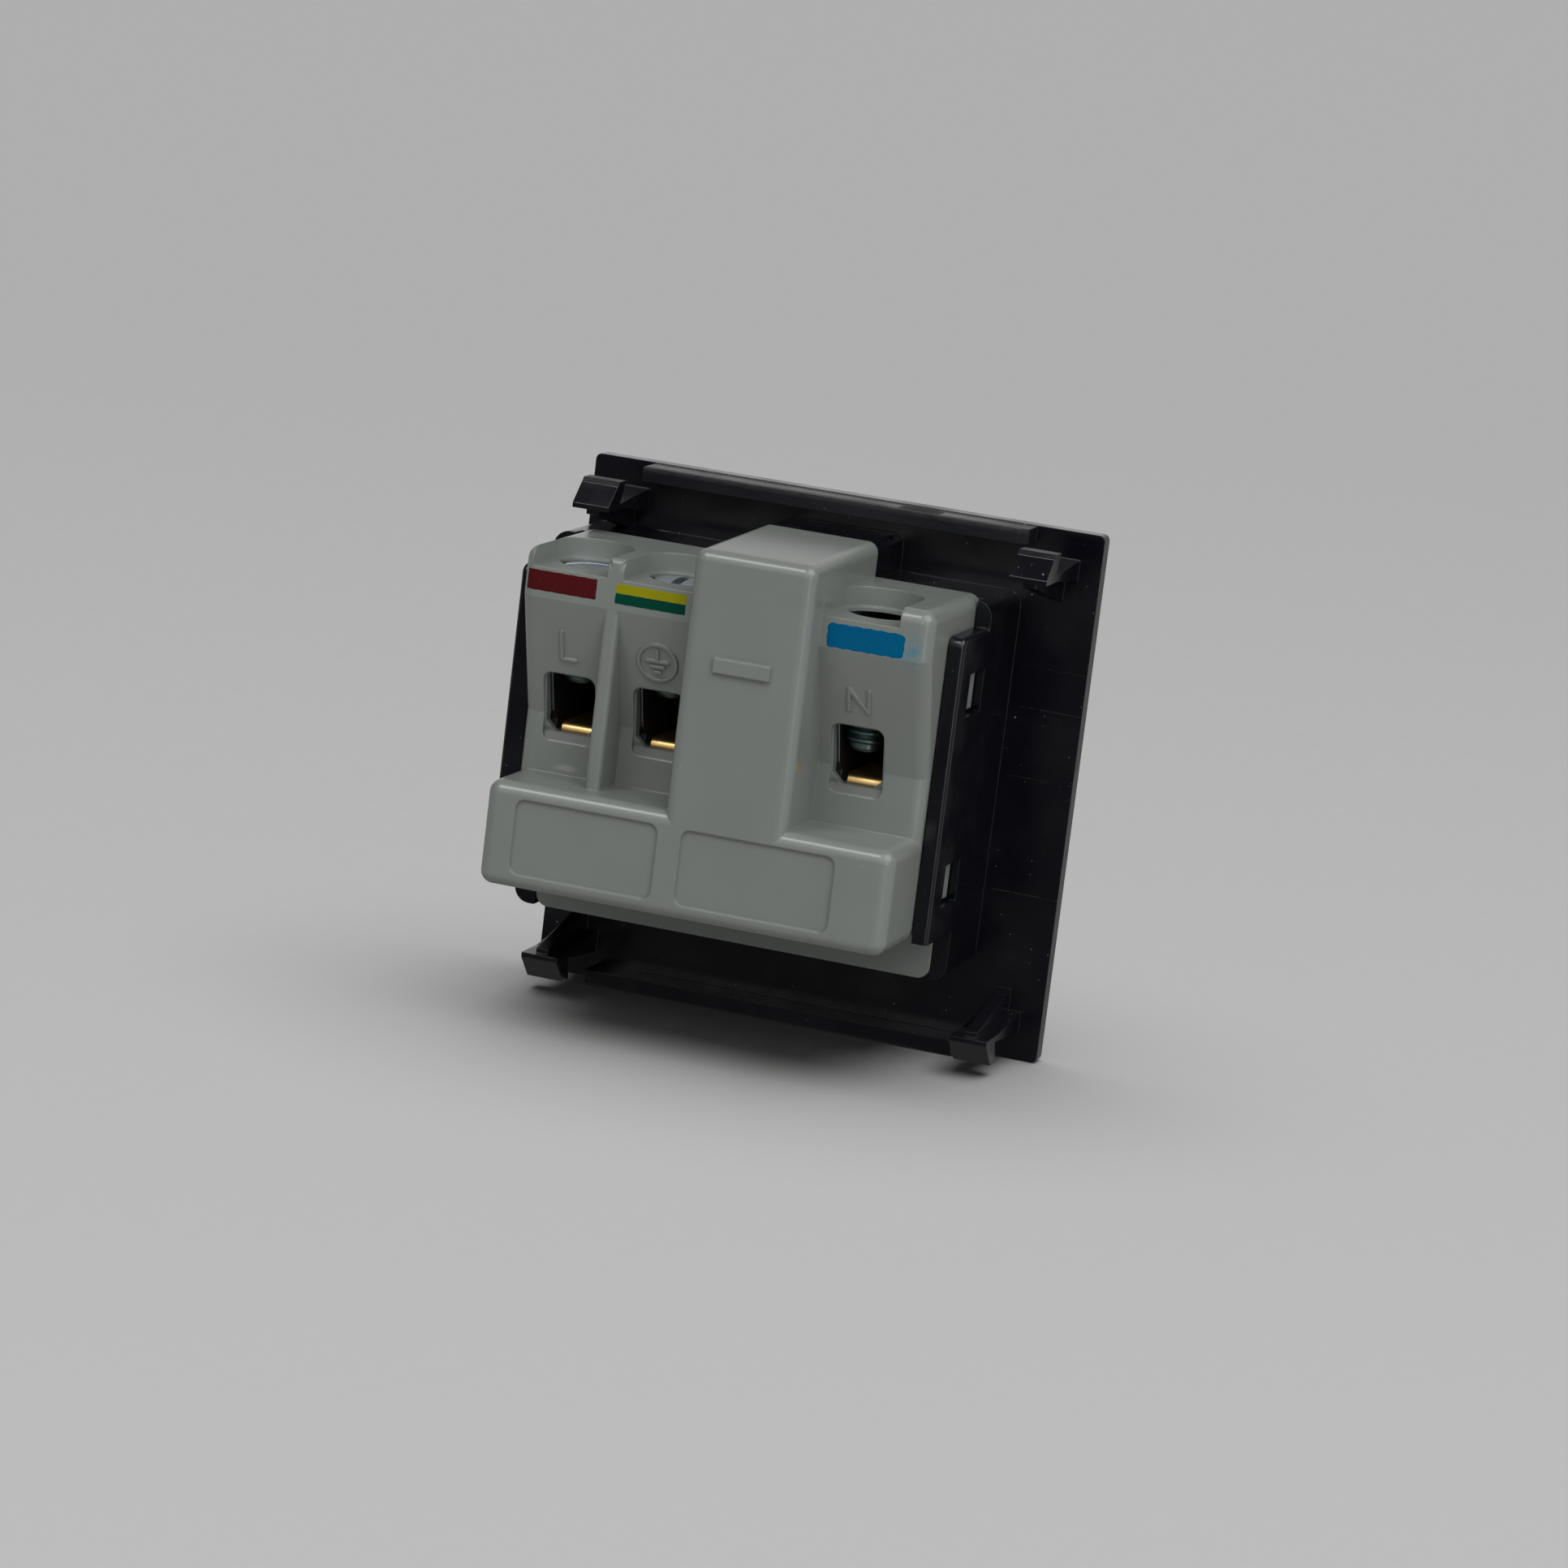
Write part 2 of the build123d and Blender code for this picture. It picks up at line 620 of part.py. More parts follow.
# Shutter and spring
def shutter():
    """Two blades on a stem, with a wedge behind the earth slot and a spring seat."""
    body = block(-shutter_half, shutter_half, shutter_y0, shutter_y1, blade_z0, blade_z1)
    body -= block(-notch_w / 2, notch_w / 2, 0, wedge_y, blade_z0 - 1, seat_z)
    body += block(-stem_w / 2, stem_w / 2, shutter_y0, shutter_y1, seat_z, wedge_foot_z - wedge_t / 2)
    low_z = wedge_foot_z - wedge_t
    ramp = [(shutter_y0, low_z), (shutter_y0, wedge_foot_z), (shutter_y0 + travel, wedge_tip_z),
            (wedge_y, wedge_tip_z), (wedge_y, wedge_tip_z - wedge_t / 2), (shutter_y1, low_z)]
    body += prism_x(ramp, -wedge_half, wedge_half)
    seat_y1 = spring_y + spring_r + 2 * spring_wire_r
    body += block(-seat_w / 2, seat_w / 2, shutter_y0, seat_y1, seat_z, blade_z1)
    return body + rod_z(0, spring_y, seat_z - nib_h, seat_z + seat_t / 2, boss_r)


def shutter_spring():
    """Coil between the box floor and the shutter's seat."""
    low = cavity_z0 + spring_wire_r
    high = seat_z - spring_wire_r
    path = Helix(pitch=(high - low) / spring_turns, height=high - low, radius=spring_r)
    section = Plane(origin=path @ 0, z_dir=path % 0) * Circle(spring_wire_r)
    return Pos(0, spring_y, low) * sweep(section, path=path)


pieces = {
    "front_moulding": front_moulding(),
    "rear_housing": rear_housing(),
    "shutter": shutter(),
    "shutter_spring": shutter_spring(),
    "live_contact": line_contact(1, live_x),
    "neutral_contact": line_contact(-1, neutral_x),
    "earth_contact": earth_contact(),
}
for key in terminal_x:
    pieces[f"{key}_terminal"] = terminal_tunnel(terminal_x[key])
    pieces[f"{key}_screw"] = terminal_screw(key)

os.makedirs("parts", exist_ok=True)
for node, shape in pieces.items():
    export_step(shape, f"parts/{node}.step")
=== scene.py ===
"""Studio scene of a square UK socket module, seen from its rear.

Lengths are in metres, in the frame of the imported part: seen from the front, +X is right and +Z is up,
and +Y runs to the rear.
"""
import logging
import math
from dataclasses import dataclass, field
from enum import Enum
from typing import Mapping, Optional, Sequence, Union

import bpy
import numpy as np
from mathutils import Matrix, Vector


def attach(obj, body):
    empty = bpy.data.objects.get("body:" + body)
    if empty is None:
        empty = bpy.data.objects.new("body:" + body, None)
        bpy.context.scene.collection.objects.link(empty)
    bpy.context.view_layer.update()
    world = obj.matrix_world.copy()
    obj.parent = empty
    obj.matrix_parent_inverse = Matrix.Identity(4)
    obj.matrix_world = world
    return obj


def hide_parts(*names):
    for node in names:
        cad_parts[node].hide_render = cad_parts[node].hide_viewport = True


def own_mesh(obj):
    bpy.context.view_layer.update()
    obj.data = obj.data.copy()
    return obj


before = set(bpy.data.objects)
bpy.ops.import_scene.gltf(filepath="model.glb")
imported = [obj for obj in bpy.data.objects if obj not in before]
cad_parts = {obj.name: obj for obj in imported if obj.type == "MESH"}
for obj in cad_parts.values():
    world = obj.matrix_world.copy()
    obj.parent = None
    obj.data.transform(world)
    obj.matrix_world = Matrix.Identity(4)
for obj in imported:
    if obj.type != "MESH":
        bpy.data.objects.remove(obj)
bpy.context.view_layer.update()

logging.basicConfig(level=logging.INFO, format="%(message)s")
log = logging.getLogger("socket_module")

MM = 0.001
NOISE_MIDDLE = 0.5
EDGE_SAMPLES = 6
# Places of the colour sockets on a Mix node, whose names repeat.
MIX_FIRST = 6
MIX_SECOND = 7
MIX_RESULT = 2

Colour = tuple[float, float, float]
Point = tuple[float, float, float]
Range = tuple[float, float]


class Body(str, Enum):
    """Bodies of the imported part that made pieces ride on."""

    MAIN = "body"


class Slot(str, Enum):
    """Material slots of the record."""

    BLACK = "black_plastic"
    GREY = "grey_plastic"
    SPRING = "spring_steel"


class Op(str, Enum):
    """Maths operations of a number socket."""

    ADD = "ADD"
    SUBTRACT = "SUBTRACT"
    MULTIPLY = "MULTIPLY"
    MAXIMUM = "MAXIMUM"
    ABSOLUTE = "ABSOLUTE"
    GREATER = "GREATER_THAN"


class Sock:
    """A number socket of a shader graph, written as ordinary maths."""

    def __init__(self, graph: "Graph", socket: bpy.types.NodeSocket) -> None:
        """Keeps the socket and the graph that it belongs to."""
        self.graph = graph
        self.socket = socket

    def _math(self, op: Op, first: "Number", second: "Number" = 0.0) -> "Sock":
        """Adds one maths node.

        Args:
            op: the operation.
            first: its first number.
            second: its second number.

        Returns:
            The node's result.
        """
        node = self.graph.node("ShaderNodeMath", {"operation": op.value}, {0: first, 1: second})
        return Sock(self.graph, node.outputs[0])

    def __add__(self, other: "Number") -> "Sock":
        """Sum."""
        return self._math(Op.ADD, self, other)

    def __radd__(self, other: "Number") -> "Sock":
        """Sum with a plain number first."""
        return self._math(Op.ADD, other, self)

    def __sub__(self, other: "Number") -> "Sock":
        """Difference."""
        return self._math(Op.SUBTRACT, self, other)

    def __rsub__(self, other: "Number") -> "Sock":
        """Difference from a plain number."""
        return self._math(Op.SUBTRACT, other, self)

    def __mul__(self, other: "Number") -> "Sock":
        """Product."""
        return self._math(Op.MULTIPLY, self, other)

    def __rmul__(self, other: "Number") -> "Sock":
        """Product with a plain number first."""
        return self._math(Op.MULTIPLY, other, self)

    def __abs__(self) -> "Sock":
        """Size without the sign."""
        return self._math(Op.ABSOLUTE, self)

    def above(self, limit: "Number") -> "Sock":
        """One where the number is above a limit, else zero."""
        return self._math(Op.GREATER, self, limit)

    def most(self, other: "Number") -> "Sock":
        """The larger of two numbers."""
        return self._math(Op.MAXIMUM, self, other)

    def smooth(self, low: float, high: float) -> "Sock":
        """Soft step.

        Args:
            low: where the step starts at zero.
            high: where it ends at one.

        Returns:
            The step, which falls instead if low is above high.
        """
        if low > high:
            return 1.0 - self.smooth(high, low)
        settings = {"interpolation_type": "SMOOTHSTEP", "clamp": True}
        sockets = {"Value": self, "From Min": low, "From Max": high}
        return Sock(self.graph, self.graph.node("ShaderNodeMapRange", settings, sockets).outputs[0])


Number = Union[float, Sock]
Feed = Union[float, Sequence[float], Sock, bpy.types.NodeSocket]


class Graph:
    """A node tree with short ways to add what the finishes need."""

    def __init__(self, tree: bpy.types.NodeTree) -> None:
        """Empties the tree and keeps it."""
        self.tree = tree
        self.tree.nodes.clear()

    def node(self, kind: str, settings: Mapping[str, object], sockets: Mapping[Union[int, str], Feed]
             ) -> bpy.types.Node:
        """Adds any node.

        Args:
            kind: Blender's name for the node's type.
            settings: its properties, set before the sockets.
            sockets: what each input takes, a value or another node's socket.

        Returns:
            The node.
        """
        made = self.tree.nodes.new(kind)
        for key, value in settings.items():
            setattr(made, key, value)
        for key, value in sockets.items():
            self.feed(made.inputs[key], value)
        return made

    def feed(self, target: bpy.types.NodeSocket, value: Feed) -> None:
        """Sets an input to a value, or links it to a socket.

        Args:
            target: the input.
            value: what it takes.
        """
        if isinstance(value, Sock):
            self.tree.links.new(value.socket, target)
        elif isinstance(value, bpy.types.NodeSocket):
            self.tree.links.new(value, target)
        else:
            target.default_value = value

    def place(self) -> bpy.types.NodeSocket:
        """Place on the object, in metres."""
        return self.node("ShaderNodeTexCoord", {}, {}).outputs["Object"]

    def split(self, vector: bpy.types.NodeSocket) -> tuple[Sock, Sock, Sock]:
        """The three numbers of a vector."""
        made = self.node("ShaderNodeSeparateXYZ", {}, {0: vector})
        return Sock(self, made.outputs[0]), Sock(self, made.outputs[1]), Sock(self, made.outputs[2])

    def scaled(self, scale: Point) -> bpy.types.NodeSocket:
        """Place on the object, stretched by three factors."""
        sockets = {0: self.place(), 1: scale}
        return self.node("ShaderNodeVectorMath", {"operation": "MULTIPLY"}, sockets).outputs[0]

    def noise(self, grain: Union[float, Point], detail: float) -> Sock:
        """Soft noise from zero to one.

        Args:
            grain: size of a feature in metres, or one size along each axis.
            detail: how many finer layers are added.

        Returns:
            The noise.
        """
        sizes = (grain, grain, grain) if isinstance(grain, float) else grain
        where = self.scaled(tuple(1.0 / s for s in sizes))
        made = self.node("ShaderNodeTexNoise", {}, {"Vector": where, "Scale": 1.0, "Detail": detail})
        return Sock(self, made.outputs["Fac"])

    def cells(self, pitch: float) -> tuple[Sock, Sock]:
        """Scattered points.

        Args:
            pitch: mean distance between points in metres.

        Returns:
            The distance to the nearest point in pitches, and a random number for each point.
        """
        where = self.scaled((1.0 / pitch,) * 3)
        made = self.node("ShaderNodeTexVoronoi", {"feature": "F1"}, {"Vector": where, "Scale": 1.0})
        red = self.node("ShaderNodeSeparateColor", {}, {0: made.outputs["Color"]}).outputs[0]
        return Sock(self, made.outputs["Distance"]), Sock(self, red)

    def near(self, point: Point, radii: Point) -> Sock:
        """Soft spot.

        Args:
            point: its centre in millimetres.
            radii: its half size along each axis in millimetres.

        Returns:
            One at the centre, falling to zero at the radii.
        """
        centre = tuple(-c * MM for c in point)
        shape = tuple(1.0 / (r * MM) for r in radii)
        vectors = "ShaderNodeVectorMath"
        moved = self.node(vectors, {"operation": "ADD"}, {0: self.place(), 1: centre})
        sized = self.node(vectors, {"operation": "MULTIPLY"}, {0: moved.outputs[0], 1: shape})
        length = self.node(vectors, {"operation": "LENGTH"}, {0: sized.outputs[0]})
        return Sock(self, length.outputs["Value"]).smooth(1.0, 0.0)

    def mix(self, factor: Number, first: Feed, second: Feed) -> bpy.types.NodeSocket:
        """Mix of two colours.

        Args:
            factor: the second colour's share.
            first: the first colour, three numbers or a socket.
            second: the second colour.

        Returns:
            The mixed colour.
        """
        linked = (Sock, bpy.types.NodeSocket)
        pair = [v if isinstance(v, linked) else (*v, 1.0) for v in (first, second)]
        sockets = {0: factor, MIX_FIRST: pair[0], MIX_SECOND: pair[1]}
        return self.node("ShaderNodeMix", {"data_type": "RGBA"}, sockets).outputs[MIX_RESULT]

    def bump(self, height: Sock, depth: float, normal: Optional[bpy.types.NodeSocket] = None
             ) -> bpy.types.NodeSocket:
        """Relief of the surface.

        Args:
            height: the relief from zero to one.
            depth: its depth in metres.
            normal: the surface that it lies on, if that is already bent.

        Returns:
            The bent surface direction.
        """
        sockets: dict[Union[int, str], Feed] = {"Height": height, "Distance": depth, "Strength": 1.0}
        if normal is not None:
            sockets["Normal"] = normal
        return self.node("ShaderNodeBump", {}, sockets).outputs[0]

    def soft_edges(self, radius: float) -> bpy.types.NodeSocket:
        """Surface direction with its sharp edges rounded by a radius in metres."""
        return self.node("ShaderNodeBevel", {"samples": EDGE_SAMPLES}, {"Radius": radius}).outputs[0]


@dataclass(frozen=True)
class Grain:
    """Soft noise: the size of a feature in metres, or one along each axis, and its finer layers."""

    size: Union[float, Point]
    layers: float

    def on(self, graph: Graph) -> Sock:
        """The noise, from zero to one."""
        return graph.noise(self.size, self.layers)


@dataclass(frozen=True)
class Patches(Grain):
    """Soft noise cut into ragged patches, between two of its values."""

    cut: Range

    def on(self, graph: Graph) -> Sock:
        """One in the patches, else zero."""
        return super().on(graph).smooth(*self.cut)


@dataclass(frozen=True)
class Specks:
    """Scattered round specks: pitch in metres, border in pitches, and the share that is left out."""

    pitch: float
    border: Range
    left_out: float

    def on(self, graph: Graph) -> Sock:
        """One in the specks, else zero."""
        reach, pick = graph.cells(self.pitch)
        return reach.smooth(*self.border) * pick.above(self.left_out)


@dataclass(frozen=True)
class Finish:
    """A surface finish, made into one material by material()."""

    name: str
    colour: Colour
    roughness: float
    metallic: float = 0.0

    def material(self) -> bpy.types.Material:
        """Makes the material.

        Returns:
            The material, dressed with the finish's detail.
        """
        made = bpy.data.materials.new(self.name)
        made.use_nodes = True
        graph = Graph(made.node_tree)
        shader = graph.node("ShaderNodeBsdfPrincipled", {}, {
            "Base Color": (*self.colour, 1.0),
            "Roughness": self.roughness,
            "Metallic": self.metallic,
        })
        graph.node("ShaderNodeOutputMaterial", {}, {"Surface": shader.outputs[0]})
        self.dress(graph, shader)
        made.diffuse_color = (*self.colour, 1.0)
        return made

    def dress(self, graph: Graph, shader: bpy.types.Node) -> None:
        """Adds the detail of the finish."""
        raise NotImplementedError

    def shade(self, factor: float) -> Colour:
        """The finish's colour, lighter or darker by a factor."""
        return tuple(c * factor for c in self.colour)

    def mottled(self, graph: Graph, cloud: Sock, shades: Range) -> bpy.types.NodeSocket:
        """The finish's colour, which a cloud takes from a darker to a lighter shade."""
        return graph.mix(cloud, self.shade(shades[0]), self.shade(shades[1]))

    def uneven(self, noise: Sock, span: float) -> Sock:
        """The finish's roughness, which a noise moves up and down within a span."""
        return self.roughness + (noise - NOISE_MIDDLE) * span


@dataclass(frozen=True)
class Stain:
    """A smudged or smeared spot on a surface, in millimetres."""

    colour: Colour
    centre: Point
    radii: Point
    strength: float


@dataclass(frozen=True)
class SatinPlastic(Finish):
    """Moulded satin plastic with a fine eroded grain, light scuffs, matt sills with painted shade and a
    few stains.

    The sills' places and their reach are in millimetres.
    """

    mottle: Grain = Grain(5.0 * MM, 3.0)
    shades: Range = (0.95, 1.05)
    stains: tuple[Stain, ...] = ()
    stain_edge: Patches = Patches(0.7 * MM, 3.0, (0.3, 0.6))
    scuffs: Specks = Specks(1.5 * MM, (0.13, 0.03), 0.94)
    scuff_edge: Patches = Patches(0.2 * MM, 2.0, (0.4, 0.6))
    scuff_shade: float = 2.0
    scuff_strength: float = 0.35
    sills: tuple[Point, ...] = ()
    sill_reach: Point = (4.2, 2.4, 1.6)
    sill_fade: Range = (0.02, 0.25)
    sill_y: Range = (20.5 * MM, 20.38 * MM)
    # Colour of the painted shade on the sills, which face up into more light than the face.
    sill_shade_colour: Colour = (0.13, 0.142, 0.132)
    sill_roughness: float = 0.4
    sheen: Grain = Grain(1.6 * MM, 4.0)
    sheen_span: float = 0.08
    grain: Grain = Grain(0.16 * MM, 3.0)
    grain_depth: float = 0.003 * MM
    edge: float = 0.2 * MM

    def matt_shaded_sills(self, graph: Graph) -> Sock:
        """Sills that are made matt and darkened with painted shade.

        Args:
            graph: the material's nodes.

        Returns:
            One on the sills, else zero.
        """
        _, y, _ = graph.split(graph.place())
        total: Number = 0.0
        for sill in self.sills:
            total = graph.near(sill, self.sill_reach).smooth(*self.sill_fade) + total
        return total * y.smooth(*self.sill_y)

    def dress(self, graph: Graph, shader: bpy.types.Node) -> None:
        """Adds mottling, painted shade on the matt sills, stains, scuffs and grain.

        Args:
            graph: the material's nodes.
            shader: the surface that they feed.
        """
        colour = self.mottled(graph, self.mottle.on(graph), self.shades)
        matt_shaded_sills = self.matt_shaded_sills(graph)
        # Painted shade: the sills under the wire entries are darkened.
        colour = graph.mix(matt_shaded_sills, colour, self.sill_shade_colour)
        for stain in self.stains:
            spot = graph.near(stain.centre, stain.radii) * self.stain_edge.on(graph)
            colour = graph.mix(spot * stain.strength, colour, stain.colour)
        scuff = self.scuffs.on(graph) * self.scuff_edge.on(graph)
        colour = graph.mix(scuff * self.scuff_strength, colour, self.shade(self.scuff_shade))
        graph.feed(shader.inputs["Base Color"], colour)
        sheen = self.uneven(self.sheen.on(graph), self.sheen_span)
        graph.feed(shader.inputs["Roughness"], sheen + matt_shaded_sills * self.sill_roughness)
        relief = graph.bump(self.grain.on(graph), self.grain_depth, graph.soft_edges(self.edge))
        graph.feed(shader.inputs["Normal"], relief)


@dataclass(frozen=True)
class GlossPlastic(Finish):
    """Moulded black plastic: glossy faces, a trimmed upper lip with a painted highlight along its crest,
    flow lines and dust.

    Each flow line has a height in millimetres and a strength.
    """

    lip_z: Range = (23.4 * MM, 23.45 * MM)
    lip_y: Range = (2.15 * MM, 2.35 * MM)
    lip_roughness: float = 0.12
    crest_z: Range = (24.35 * MM, 24.8 * MM)
    crest_y: Range = (4.4 * MM, 4.9 * MM)
    fibre: Grain = Grain((1.2 * MM, 0.12 * MM, 0.12 * MM), 4.0)
    fibre_cut: Range = (0.25, 0.7)
    fibre_share: float = 0.8
    # Lighter colour of the painted highlight on the lip's crest, and of the real flow lines.
    highlight_and_line_colour: Colour = (0.026, 0.026, 0.028)
    highlight_roughness: float = 0.3
    strip_x: Range = (-18.3 * MM, -19.3 * MM)
    strip_y: Range = (2.3 * MM, 2.2 * MM)
    flow_lines: tuple[Range, ...] = ((8.07, 0.55), (1.55, 0.5), (-9.33, 0.7), (11.93, 0.3))
    flow_x: float = -21.5 * MM
    flow_slope: float = 0.012
    flow_width: Range = (0.07 * MM, 0.02 * MM)
    flow_breaks: Patches = Patches(0.9 * MM, 2.0, (0.35, 0.6))
    flow_roughness: float = 0.2
    dusty: Patches = Patches(7.0 * MM, 2.0, (0.38, 0.62))
    fine_dust: Specks = Specks(0.55 * MM, (0.12, 0.05), 0.82)
    lint: Specks = Specks(1.7 * MM, (0.075, 0.04), 0.72)
    dust_colour: Colour = (0.3, 0.3, 0.32)
    dust_strength: float = 0.55
    dust_roughness: float = 0.3
    smear: Patches = Patches(6.0 * MM, 4.0, (0.35, 0.7))
    smear_roughness: float = 0.14
    sink: Grain = Grain(9.0 * MM, 1.0)
    sink_share: float = 0.6
    ripple: Grain = Grain(0.3 * MM, 2.0)
    ripple_share: float = 0.03
    trim_share: float = 0.7
    relief: float = 0.03 * MM
    edge: float = 0.12 * MM

    def lips(self, graph: Graph) -> Sock:
        """One on the trimmed upper lip behind the plate, else zero."""
        _, y, z = graph.split(graph.place())
        return z.smooth(*self.lip_z) * y.smooth(*self.lip_y)

    def crest(self, graph: Graph) -> Sock:
        """One along the upper edge of the upper lip, where a highlight is painted, else zero."""
        _, y, z = graph.split(graph.place())
        return z.smooth(*self.crest_z) * y.smooth(*self.crest_y)

    def lines(self, graph: Graph) -> Sock:
        """Fine flow lines across the strip beside the box.

        Args:
            graph: the material's nodes.

        Returns:
            Each line's strength on it, else zero.
        """
        x, y, z = graph.split(graph.place())
        total: Number = 0.0
        for height, strength in self.flow_lines:
            offset = abs(z - height * MM - (x - self.flow_x) * self.flow_slope)
            total = offset.smooth(*self.flow_width) * strength + total
        strip = x.smooth(*self.strip_x) * y.smooth(*self.strip_y)
        return total * strip * self.flow_breaks.on(graph)

    def dust(self, graph: Graph) -> Sock:
        """Fine dust in loose patches, and larger specks of lint."""
        return (self.fine_dust.on(graph) * self.dusty.on(graph)).most(self.lint.on(graph))

    def dress(self, graph: Graph, shader: bpy.types.Node) -> None:
        """Adds the lip, a painted highlight along its crest, lines, dust and the uneven gloss.

        Args:
            graph: the material's nodes.
            shader: the surface that they feed.
        """
        lips = self.lips(graph)
        fibre = self.fibre.on(graph)
        highlight_breaks = fibre.smooth(*self.fibre_cut) * self.fibre_share + (1.0 - self.fibre_share)
        crest_highlight = self.crest(graph) * highlight_breaks
        lines = self.lines(graph)
        dust = self.dust(graph)
        # Painted highlight: the lip's crest is lightened, as are the flow lines, which are real marks.
        colour = graph.mix(crest_highlight.most(lines), self.colour, self.highlight_and_line_colour)
        colour = graph.mix(dust * self.dust_strength, colour, self.dust_colour)
        graph.feed(shader.inputs["Base Color"], colour)
        gloss = self.roughness + self.smear.on(graph) * self.smear_roughness + lips * self.lip_roughness
        marks = crest_highlight * self.highlight_roughness + lines * self.flow_roughness + dust * self.dust_roughness
        graph.feed(shader.inputs["Roughness"], gloss + marks)
        faces = self.sink.on(graph) * self.sink_share + self.ripple.on(graph) * self.ripple_share
        height = faces + fibre * lips * self.trim_share
        relief = graph.bump(height, self.relief, graph.soft_edges(self.edge))
        graph.feed(shader.inputs["Normal"], relief)


@dataclass(frozen=True)
class MattPlastic(Finish):
    """Plain matt moulded plastic for the hidden moving piece and for torn plastic."""

    mottle: Grain = Grain(2.0 * MM, 3.0)
    shades: Range = (0.85, 1.2)
    sheen_span: float = 0.1
    grain: Grain = Grain(0.14 * MM, 3.0)
    grain_depth: float = 0.008 * MM
    edge: float = 0.08 * MM

    def dress(self, graph: Graph, shader: bpy.types.Node) -> None:
        """Adds a fine grain and a faint mottling.

        Args:
            graph: the material's nodes.
            shader: the surface that they feed.
        """
        cloud = self.mottle.on(graph)
        graph.feed(shader.inputs["Base Color"], self.mottled(graph, cloud, self.shades))
        graph.feed(shader.inputs["Roughness"], self.uneven(cloud, self.sheen_span))
        relief = graph.bump(self.grain.on(graph), self.grain_depth, graph.soft_edges(self.edge))
        graph.feed(shader.inputs["Normal"], relief)


@dataclass(frozen=True)
class RolledMetal(Finish):
    """Pressed or turned metal with drawn lines, a tint that wanders, small tarnish spots and, where set,
    painted shade on its lower end.
    """

    tint: Colour = (1.0, 1.0, 1.0)
    tinted: Patches = Patches(1.5 * MM, 2.0, (0.35, 0.65))
    # Colour and heights of the painted shade on the lower end, where screws sit in the wire entries.
    end_shade: Optional[Colour] = None
    end_shade_z: Range = (9.5 * MM, 8.0 * MM)
    tarnish: Colour = (0.2, 0.2, 0.2)
    spots: Patches = Patches(0.8 * MM, 4.0, (0.55, 0.75))
    spot_strength: float = 0.25
    spot_roughness: float = 0.3
    lines: Grain = Grain((3.0 * MM, 0.05 * MM, 0.05 * MM), 3.0)
    line_span: float = 0.2
    line_depth: float = 0.004 * MM
    edge: float = 0.07 * MM

    def dress(self, graph: Graph, shader: bpy.types.Node) -> None:
        """Adds tint, painted shade on the lower end, tarnish and drawn lines.

        Args:
            graph: the material's nodes.
            shader: the surface that they feed.
        """
        colour = graph.mix(self.tinted.on(graph), self.colour, self.tint)
        # Painted shade: below these heights the colour turns darker, down in the wire entries.
        if self.end_shade is not None:
            _, _, z = graph.split(graph.place())
            colour = graph.mix(z.smooth(*self.end_shade_z), colour, self.end_shade)
        spots = self.spots.on(graph) * self.spot_strength
        graph.feed(shader.inputs["Base Color"], graph.mix(spots, colour, self.tarnish))
        lines = self.lines.on(graph)
        gloss = self.uneven(lines, self.line_span) + spots * self.spot_roughness
        graph.feed(shader.inputs["Roughness"], gloss)
        relief = graph.bump(lines, self.line_depth, graph.soft_edges(self.edge))
        graph.feed(shader.inputs["Normal"], relief)


@dataclass(frozen=True)
class Ink(Finish):
    """Printed ink on satin plastic, slightly thin in places."""

    under: Colour = (0.19, 0.2075, 0.1925)
    thin: Patches = Patches(0.25 * MM, 4.0, (0.62, 0.8))
    thin_strength: float = 0.18
    mottle: Grain = Grain(1.5 * MM, 2.0)
    shades: Range = (0.92, 1.08)
    sheen_span: float = 0.1
    shine: float = 0.03
    grain: Grain = Grain(0.16 * MM, 3.0)
    grain_depth: float = 0.005 * MM

    def dress(self, graph: Graph, shader: bpy.types.Node) -> None:
        """Adds thin patches and the plastic's grain, on a surface with little shine.

        Args:
            graph: the material's nodes.
            shader: the surface that they feed.
        """
        graph.feed(shader.inputs["Specular IOR Level"], self.shine)
        cloud = self.mottle.on(graph)
        colour = self.mottled(graph, cloud, self.shades)
        thin = self.thin.on(graph) * self.thin_strength
        graph.feed(shader.inputs["Base Color"], graph.mix(thin, colour, self.under))
        graph.feed(shader.inputs["Roughness"], self.uneven(cloud, self.sheen_span))
        relief = graph.bump(self.grain.on(graph), self.grain_depth)
        graph.feed(shader.inputs["Normal"], relief)


@dataclass(frozen=True)
class Paper(Finish):
    """Plain pale floor of matt paper, with painted light that makes it a little lighter to one side."""

    # Painted light: darker colour on the side away from +Y and -X, lighter towards it.
    far: Colour = (0.47, 0.47, 0.47)
    side: Range = (-0.6, 0.8)
    reach: float = 0.5
    fibre: Grain = Grain((1.7 * MM, 0.7 * MM, 0.9 * MM), 4.0)
    fibre_cut: Range = (0.35, 0.7)
    fibre_colour: Colour = (0.6, 0.6, 0.6)
    fibre_strength: float = 0.15
    fibre_roughness: float = 0.1
    fibre_depth: float = 0.02 * MM

    def dress(self, graph: Graph, shader: bpy.types.Node) -> None:
        """Adds painted light, a slow lightening across the floor, and a fine fibre.

        Args:
            graph: the material's nodes.
            shader: the surface that they feed.
        """
        x, y, _ = graph.split(graph.place())
        across = x * self.side[0] + y * self.side[1]
        # Painted light: the floor lightens slowly from one side to the other.
        tone = graph.mix(across.smooth(-self.reach, self.reach), self.far, self.colour)
        fibre = self.fibre.on(graph)
        paler = fibre.smooth(*self.fibre_cut) * self.fibre_strength
        graph.feed(shader.inputs["Base Color"], graph.mix(paler, tone, self.fibre_colour))
        graph.feed(shader.inputs["Roughness"], self.roughness + fibre * self.fibre_roughness)
        graph.feed(shader.inputs["Normal"], graph.bump(fibre, self.fibre_depth))


